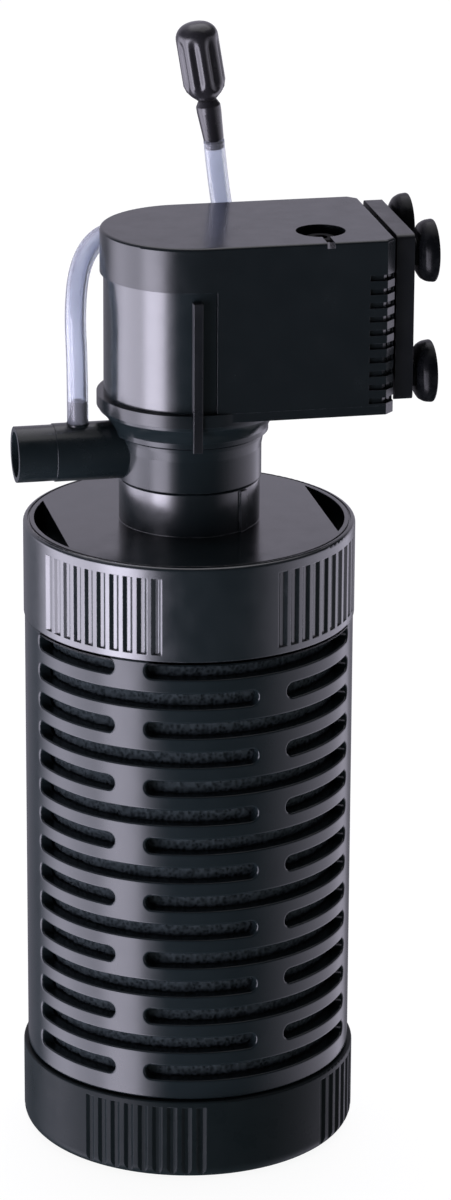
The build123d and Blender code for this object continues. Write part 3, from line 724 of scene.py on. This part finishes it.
def open_foam(name):
    material, tree, shader = new_material(name)
    coordinates = tree.nodes.new("ShaderNodeTexCoord")
    cells = tree.nodes.new("ShaderNodeTexVoronoi")
    cells.feature = "SMOOTH_F1"
    cells.inputs["Scale"].default_value = FOAM_PORES
    tree.links.new(coordinates.outputs["Object"], cells.inputs["Vector"])
    depth = remap(tree, cells.outputs["Distance"], 0.1, 0.6, 0.0, 1.0)
    # Darker towards each pore's middle: painted shade in the pores.
    tree.links.new(mix_colour(tree, depth, FOAM_PORE_SHADE, FOAM_FACE), shader.inputs["Base Color"])
    tree.links.new(remap(tree, add_noise(tree, FOAM_PATCHES), 0.3, 0.7, 0.85, 1.0),
                   shader.inputs["Roughness"])
    tree.links.new(add_bump(tree, depth, 0.9, 0.5 * MM), shader.inputs["Normal"])
    shader.inputs["Specular IOR Level"].default_value = 0.12
    return material


def clear_hose(name):
    """Soft clear plastic with a faint blue tint and slight extrusion lines."""
    material, tree, shader = new_material(name)
    streaks = add_noise(tree, HOSE_STREAKS, 2.0)
    cloud = add_noise(tree, HOSE_CLOUD, 3.0)
    tree.links.new(mix_colour(tree, cloud, HOSE_DARK, HOSE_PALE), shader.inputs["Base Color"])
    tree.links.new(remap(tree, streaks, 0.3, 0.7, 0.14, 0.26), shader.inputs["Roughness"])
    tree.links.new(add_bump(tree, streaks, 0.12, 0.05 * MM), shader.inputs["Normal"])
    shader.inputs["Transmission Weight"].default_value = 0.87
    shader.inputs["IOR"].default_value = 1.36
    return material


def polished_ceramic(name, colour, roughness):
    material, tree, shader = new_material(name)
    speckle = add_noise(tree, CERAMIC_SPECKLE, 4.0)
    tree.links.new(mix_colour(tree, speckle, colour, tuple(c * 0.8 for c in colour)),
                   shader.inputs["Base Color"])
    tree.links.new(remap(tree, speckle, 0.3, 0.7, roughness, roughness * 1.6), shader.inputs["Roughness"])
    tree.links.new(add_bump(tree, speckle, 0.1, 0.03 * MM), shader.inputs["Normal"])
    return material


def wound_metal(name, colour, roughness, lines_per_m, axis):
    """Metal with fine parallel lines: stacked laminations or layers of wire."""
    material, tree, shader = new_material(name)
    coordinates = tree.nodes.new("ShaderNodeTexCoord")
    wave = tree.nodes.new("ShaderNodeTexWave")
    wave.bands_direction = axis
    wave.inputs["Scale"].default_value = lines_per_m
    wave.inputs["Distortion"].default_value = 0.4
    tree.links.new(coordinates.outputs["Object"], wave.inputs["Vector"])
    lines = wave.outputs["Fac"]
    tree.links.new(mix_colour(tree, lines, tuple(c * 0.5 for c in colour), colour),
                   shader.inputs["Base Color"])
    tree.links.new(remap(tree, add_noise(tree, METAL_PATCHES), 0.3, 0.7, roughness * 0.8, roughness * 1.3),
                   shader.inputs["Roughness"])
    tree.links.new(add_bump(tree, lines, 0.6, 0.1 * MM), shader.inputs["Normal"])
    shader.inputs["Metallic"].default_value = 0.9
    return material


def dress(material, *nodes):
    for node in nodes:
        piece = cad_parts[node]
        for slot in piece.material_slots:
            slot.material = material
        if not piece.material_slots:
            piece.data.materials.append(material)


def make_materials():
    return {
        # Each plastic's second colour goes on its edges: rubbed wear, and a painted highlight.
        "gloss": moulded_plastic("black_gloss_plastic", BLACK, SCUFFED_AND_LIT_EDGE, 0.17, ior=1.64),
        "head": moulded_plastic("black_head_plastic", (0.0045, 0.0062, 0.0070), (0.035, 0.037, 0.045), 0.21,
                                grain=0.012, edge=0.16 * MM, ior=1.435),
        "lid": moulded_plastic("black_lid_plastic", BLACK, SCUFFED_AND_LIT_EDGE, 0.2, ior=1.74),
        "canister": moulded_plastic("black_canister_plastic", BLACK, (0.04, 0.042, 0.05), 0.17, ior=1.365),
        "cap": moulded_plastic("black_cap_plastic", (0.0044, 0.0066, 0.0072), (0.045, 0.05, 0.057), 0.3,
                               ior=1.13),
        "nozzle": moulded_plastic("black_nozzle_plastic", BLACK, (0.012, 0.013, 0.015), 0.24,
                                  edge=0.2 * MM, ior=1.4),
        "satin": moulded_plastic("black_satin_plastic", (0.0045, 0.0052, 0.0062), (0.03, 0.031, 0.035),
                                 0.32, grain=0.05, ior=1.43),
        "valve": moulded_plastic("valve_grey_plastic", (0.010, 0.0098, 0.0115), (0.05, 0.05, 0.058), 0.24,
                                 grain=0.03, ior=1.45),
        "bobbin": moulded_plastic("bobbin_white_plastic", (0.72, 0.71, 0.67), (0.8, 0.8, 0.78), 0.45,
                                  grain=0.03),
        "seal": soft_rubber("seal_rubber", (0.012, 0.012, 0.012), 0.6),
        "gland": soft_rubber("gland_rubber", (0.002, 0.002, 0.0022), 0.55, 1.15),
        "cup": soft_rubber("cup_rubber", (0.0022, 0.0025, 0.003), 0.27, 1.21),
        "foam": open_foam("filter_foam"),
        "hose": clear_hose("clear_hose"),
        "shaft": polished_ceramic("shaft_ceramic", (0.82, 0.80, 0.76), 0.12),
        "magnet": polished_ceramic("ferrite_magnet", (0.045, 0.045, 0.05), 0.4),
        "steel": wound_metal("laminated_steel", (0.42, 0.42, 0.43), 0.4, SHEETS, "Z"),
        "copper": wound_metal("enamelled_copper", (0.55, 0.24, 0.10), 0.3, WINDINGS, "Z"),
    }


def dress_cad(materials):
    dress(materials["lid"], "top_lid")
    dress(materials["gloss"], "motor_barrel")
    dress(materials["cap"], "base_cap")
    dress(materials["nozzle"], "outlet_nozzle")
    dress(materials["head"], "pump_housing", "motor_base_plate")
    dress(materials["canister"], "pump_chamber")
    dress(materials["satin"], "core_tube", "air_nipple", "impeller_cover", "rotor_well", "impeller",
          "side_clip_front", "side_clip_back", "bracket_plate")
    dress(materials["valve"], "regulator_stem")
    dress(materials["seal"], "neck_oring", "shaft_bush_lower", "shaft_bush_upper")
    dress(materials["gland"], "cord_gland")
    dress(materials["shaft"], "impeller_shaft")
    dress(materials["magnet"], "rotor_magnet")
    dress(materials["steel"], "stator_core")
    dress(materials["copper"], "stator_coil")
    dress(materials["bobbin"], "coil_bobbin")


# ---- air line -------------------------------------------------------------------------------
def route_line():
    """Points along the smooth line that the route's control points describe."""
    data = bpy.data.curves.new("air_tube_line", "CURVE")
    data.dimensions = "3D"
    spline = data.splines.new("NURBS")
    spline.points.add(len(TUBE_ROUTE) - 1)
    for point, place in zip(spline.points, TUBE_ROUTE):
        point.co = (*(value * MM for value in place), 1)
    spline.order_u = 3
    spline.use_endpoint_u = True
    spline.resolution_u = 20
    holder = bpy.data.objects.new("air_tube_line", data)
    mesh = bpy.data.meshes.new_from_object(holder)
    points = [v.co.copy() for v in mesh.vertices]
    bpy.data.meshes.remove(mesh)
    bpy.data.objects.remove(holder)
    bpy.data.curves.remove(data)
    return points


def frames_along(points):
    """Two crosswise directions at each point, carried along without twist."""
    frames = []
    side = None
    for i, here in enumerate(points):
        ahead = points[min(i + 1, len(points) - 1)] - points[max(i - 1, 0)]
        ahead.normalize()
        if side is None:
            side = ahead.orthogonal().normalized()
        side = (side - ahead * side.dot(ahead)).normalized()
        frames.append((here, side.copy(), ahead.cross(side)))
    return frames


def air_tube(material):
    line = route_line()
    rings = frames_along(line)
    vertices = []
    for run, r in ((rings, TUBE_R), (rings[::-1], TUBE_BORE_R)):
        for centre, side, other in run:
            for j in range(TUBE_SEGMENTS):
                angle = 2 * pi * j / TUBE_SEGMENTS
                vertices.append(centre + (side * cos(angle) + other * sin(angle)) * r)
    faces = grid_faces(2 * len(rings), TUBE_SEGMENTS, closed_rows=True)
    tube = mesh_object("air_tube_clear", vertices, faces)
    tube.data.materials.append(material)
    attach(tube, "pump_head")
    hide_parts("air_tube")


# ---- floor and light ------------------------------------------------------------------------
def add_floor():
    half = FLOOR_HALF_SIZE
    corners = [(-half, -half, 0), (half, -half, 0), (half, half, 0), (-half, half, 0)]
    floor = mesh_object("floor", corners, [(0, 1, 2, 3)])
    floor.location.z = CAD_BOX[0].z - FLOOR_GAP
    material, _, shader = new_material("pale_floor")
    shader.inputs["Base Color"].default_value = (FLOOR_GREY, FLOOR_GREY, FLOOR_GREY, 1)
    shader.inputs["Roughness"].default_value = FLOOR_ROUGHNESS
    shader.inputs["Specular IOR Level"].default_value = 0.0
    shader.inputs["Emission Color"].default_value = (1, 1, 1, 1)
    shader.inputs["Emission Strength"].default_value = FLOOR_GLOW
    floor.data.materials.append(material)
    floor.visible_glossy = False
    floor.visible_shadow = False


def add_softbox(name, azimuth, elevation, distance, size, power):
    data = bpy.data.lights.new(name, "AREA")
    data.shape = "RECTANGLE"
    data.size = size
    data.size_y = size
    data.energy = power
    light = bpy.data.objects.new(name, data)
    a, e = radians(azimuth), radians(elevation)
    away = Vector((sin(a) * cos(e), -cos(a) * cos(e), sin(e)))
    centre = Vector((0, 0, LIGHT_AIM_HEIGHT))
    light.location = centre + away * distance
    light.rotation_mode = "QUATERNION"
    light.rotation_quaternion = away.to_track_quat("Z", "Y")
    bpy.context.scene.collection.objects.link(light)


def smooth_step(tree, value, zero_at, one_at):
    node = tree.nodes.new("ShaderNodeMapRange")
    node.interpolation_type = "SMOOTHSTEP"
    node.inputs["From Min"].default_value = min(zero_at, one_at)
    node.inputs["From Max"].default_value = max(zero_at, one_at)
    node.inputs["To Min"].default_value = 0.0 if zero_at < one_at else 1.0
    node.inputs["To Max"].default_value = 1.0 if zero_at < one_at else 0.0
    tree.links.new(value, node.inputs["Value"])
    return node.outputs["Result"]


def span(tree, value, start, full, last, end):
    """1 from full to last, fading to 0 at start and at end."""
    rise = smooth_step(tree, value, start, full)
    fall = smooth_step(tree, value, end, last)
    return math_node(tree, "MULTIPLY", rise, fall)


def add_world():
    """Surroundings by direction: soft panels left and right, pale behind and above, dark in front."""
    world = bpy.data.worlds.new("studio")
    bpy.context.scene.world = world
    world.use_nodes = True
    tree = world.node_tree
    background = tree.nodes["Background"]
    coordinates = tree.nodes.new("ShaderNodeTexCoord")
    split = tree.nodes.new("ShaderNodeSeparateXYZ")
    tree.links.new(coordinates.outputs["Generated"], split.inputs["Vector"])
    x, y, z = split.outputs
    turn = math_node(tree, "ARCTAN2", x, math_node(tree, "MULTIPLY", y, -1.0))
    bearing = math_node(tree, "MULTIPLY", turn, degrees(1))
    around_back = math_node(tree, "ABSOLUTE", bearing, 0.0)
    strength = None
    panels = [
        (span(tree, bearing, *LEFT_PANEL_BEARINGS), span(tree, z, *PANEL_HEIGHTS), LEFT_PANEL),
        (span(tree, bearing, *LEFT_CORE_BEARINGS), span(tree, z, *PANEL_HEIGHTS), LEFT_CORE),
        (span(tree, bearing, *RIGHT_PANEL_BEARINGS), span(tree, z, *PANEL_HEIGHTS), RIGHT_PANEL),
        (smooth_step(tree, around_back, *BACK_BEARINGS), smooth_step(tree, z, *BACK_HEIGHTS), BACK_GLOW),
        (smooth_step(tree, z, *TOP_HEIGHTS), smooth_step(tree, y, *TOP_DEPTHS), TOP_GLOW),
    ]
    for across, upright, level in panels:
        panel = math_node(tree, "MULTIPLY", math_node(tree, "MULTIPLY", across, upright), level)
        strength = panel if strength is None else math_node(tree, "ADD", strength, panel)
    tree.links.new(math_node(tree, "ADD", strength, DARK_ROOM), background.inputs["Strength"])
    background.inputs["Color"].default_value = (*STUDIO_TINT, 1)


def add_lights():
    add_world()
    add_softbox("overhead", OVERHEAD_AZIMUTH, OVERHEAD_ELEVATION, OVERHEAD_DISTANCE, OVERHEAD_SIZE,
                OVERHEAD_WATTS)
    bpy.context.scene.view_settings.view_transform = "Standard"


# ---- scene ----------------------------------------------------------------------------------
add_camera()
materials = make_materials()
air_tube(materials["hose"])
dress_cad(materials)
slotted_basket(materials["canister"])
foam_sleeve(materials["foam"])
for cup_node in sorted(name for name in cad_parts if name.startswith("suction_cup")):
    suction_cup(cup_node, materials["cup"])
regulator_knob(materials["valve"])
add_floor()
add_lights()
